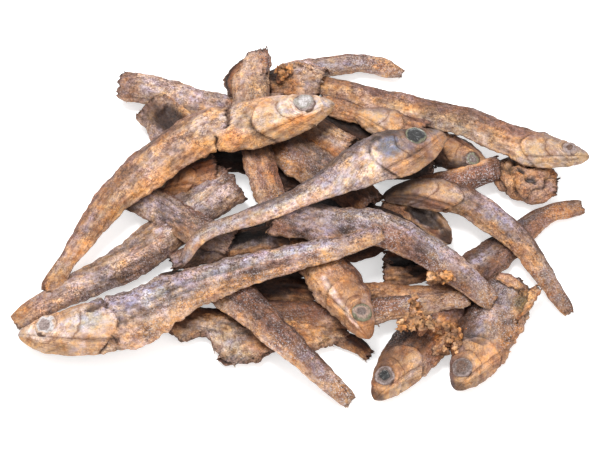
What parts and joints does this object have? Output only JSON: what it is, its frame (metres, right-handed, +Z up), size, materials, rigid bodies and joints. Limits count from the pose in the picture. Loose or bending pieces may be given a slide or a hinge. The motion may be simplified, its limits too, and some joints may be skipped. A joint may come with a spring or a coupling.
{
  "type": "dried anchovies",
  "caption": "Loose heap of dried anchovies: whole fish, headless bodies, heads, tails and broken pieces lying across each other, resting on a flat surface.",
  "frame": {"origin": "middle of the heap's flat underside, on the surface that the heap lies on", "axes": "+X along the heap's length, towards the small fish's head end at the right; +Y to the back; +Z up"},
  "size_m": [0.1445, 0.1034, 0.0191],
  "materials": {
    "dried_fish": "matte, dry"
  },
  "bodies": {
    "root": {"anchovy_heap": "dried_fish"}
  },
  "joints": []
}
